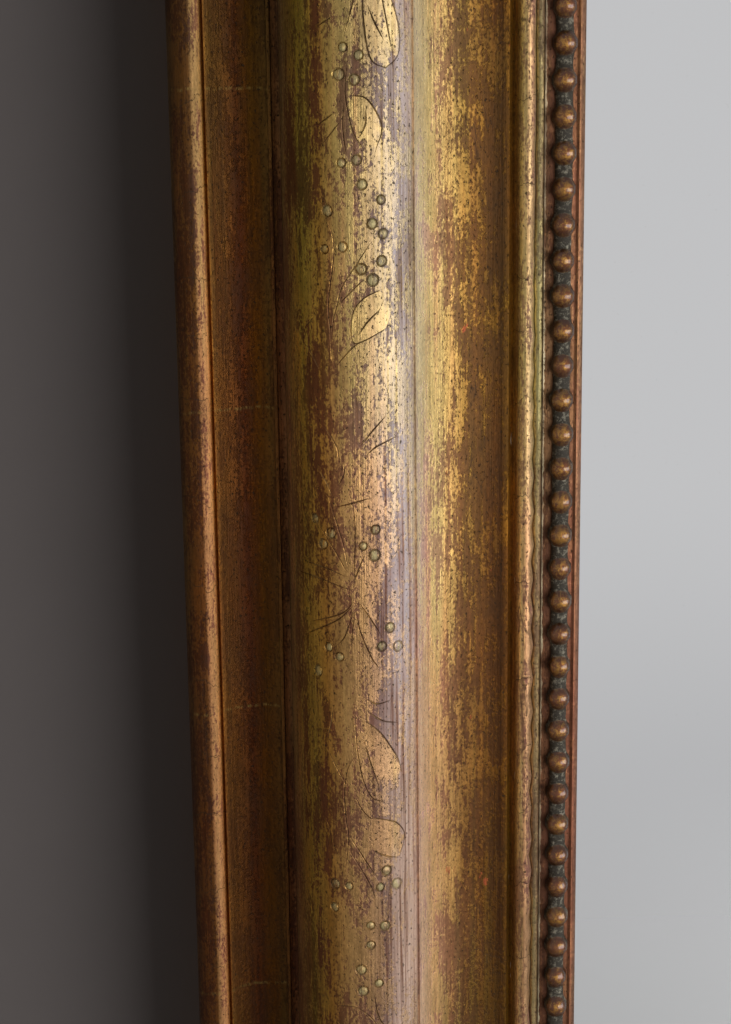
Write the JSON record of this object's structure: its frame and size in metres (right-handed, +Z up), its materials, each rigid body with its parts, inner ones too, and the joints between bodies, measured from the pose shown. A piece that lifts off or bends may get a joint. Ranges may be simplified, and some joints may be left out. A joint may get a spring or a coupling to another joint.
{
  "type": "pier mirror",
  "caption": "Tall wall mirror in a moulded gilt frame with rounded top corners, pearl beading at the glass, boarded back and two hanging rings.",
  "frame": {"origin": "bottom centre of the whole mirror's box, which takes in the hangers behind it", "axes": "+Z up, -Y out of the glass towards the room, +Y towards the wall, +X to the right as seen from the room"},
  "size_m": [0.76, 0.0676, 1.6],
  "materials": {
    "gilding": "worn gold leaf over red-brown bole and gesso, satin, with incised sprays on the swell",
    "bead_gilding": "red-brown bole with rubbed gold, satin, dust in the necks between the beads",
    "silvered_glass": "polished, silvered at the back",
    "aged_pine": "bare, old and dusty",
    "oak": "bare",
    "iron": "dark, forged, slightly rusted"
  },
  "bodies": {
    "frame": {"left_stile": "gilding", "right_stile": "gilding", "bottom_rail": "gilding", "top_rail": "gilding", "top_left_corner": "gilding", "top_right_corner": "gilding", "left_beading": "bead_gilding", "right_beading": "bead_gilding", "bottom_beading": "bead_gilding", "top_beading": "bead_gilding", "top_left_corner_beading": "bead_gilding", "top_right_corner_beading": "bead_gilding", "mirror_plate": "silvered_glass", "bottom_left_mitre_tongue": "oak", "top_left_stile_tongue": "oak", "top_left_rail_tongue": "oak", "bottom_right_mitre_tongue": "oak", "top_right_stile_tongue": "oak", "top_right_rail_tongue": "oak", "left_glazing_block_1": "aged_pine", "left_glazing_block_2": "aged_pine", "left_glazing_block_3": "aged_pine", "right_glazing_block_1": "aged_pine", "right_glazing_block_2": "aged_pine", "right_glazing_block_3": "aged_pine", "bottom_glazing_block_1": "aged_pine", "bottom_glazing_block_2": "aged_pine", "top_glazing_block_1": "aged_pine", "top_glazing_block_2": "aged_pine", "left_backboard": "aged_pine", "middle_backboard": "aged_pine", "right_backboard": "aged_pine", "lower_batten": "aged_pine", "upper_batten": "aged_pine", "lower_batten_nail_1": "iron", "lower_batten_nail_2": "iron", "lower_batten_nail_3": "iron", "upper_batten_nail_1": "iron", "upper_batten_nail_2": "iron", "upper_batten_nail_3": "iron", "left_board_nail_1": "iron", "left_board_nail_2": "iron", "left_board_nail_3": "iron", "right_board_nail_1": "iron", "right_board_nail_2": "iron", "right_board_nail_3": "iron", "bottom_board_nail_1": "iron", "bottom_board_nail_2": "iron", "bottom_board_nail_3": "iron", "top_board_nail_1": "iron", "top_board_nail_2": "iron", "top_board_nail_3": "iron", "left_hanger_upper_screw": "iron", "left_hanger_lower_screw": "iron", "right_hanger_upper_screw": "iron", "right_hanger_lower_screw": "iron", "left_hanger_strap": "iron", "right_hanger_strap": "iron"},
    "left_ring": {"left_hanger_ring": "iron"},
    "right_ring": {"right_hanger_ring": "iron"}
  },
  "joints": [
    {"name": "left_ring_hinge", "type": "hinge", "parent": "frame", "child": "left_ring", "pos_m": [-0.34, 0.03, 1.39], "axis": [1, 0, 0], "range_deg": [0, 180]},
    {"name": "right_ring_hinge", "type": "hinge", "parent": "frame", "child": "right_ring", "pos_m": [0.34, 0.03, 1.39], "axis": [1, 0, 0], "range_deg": [0, 180]}
  ]
}
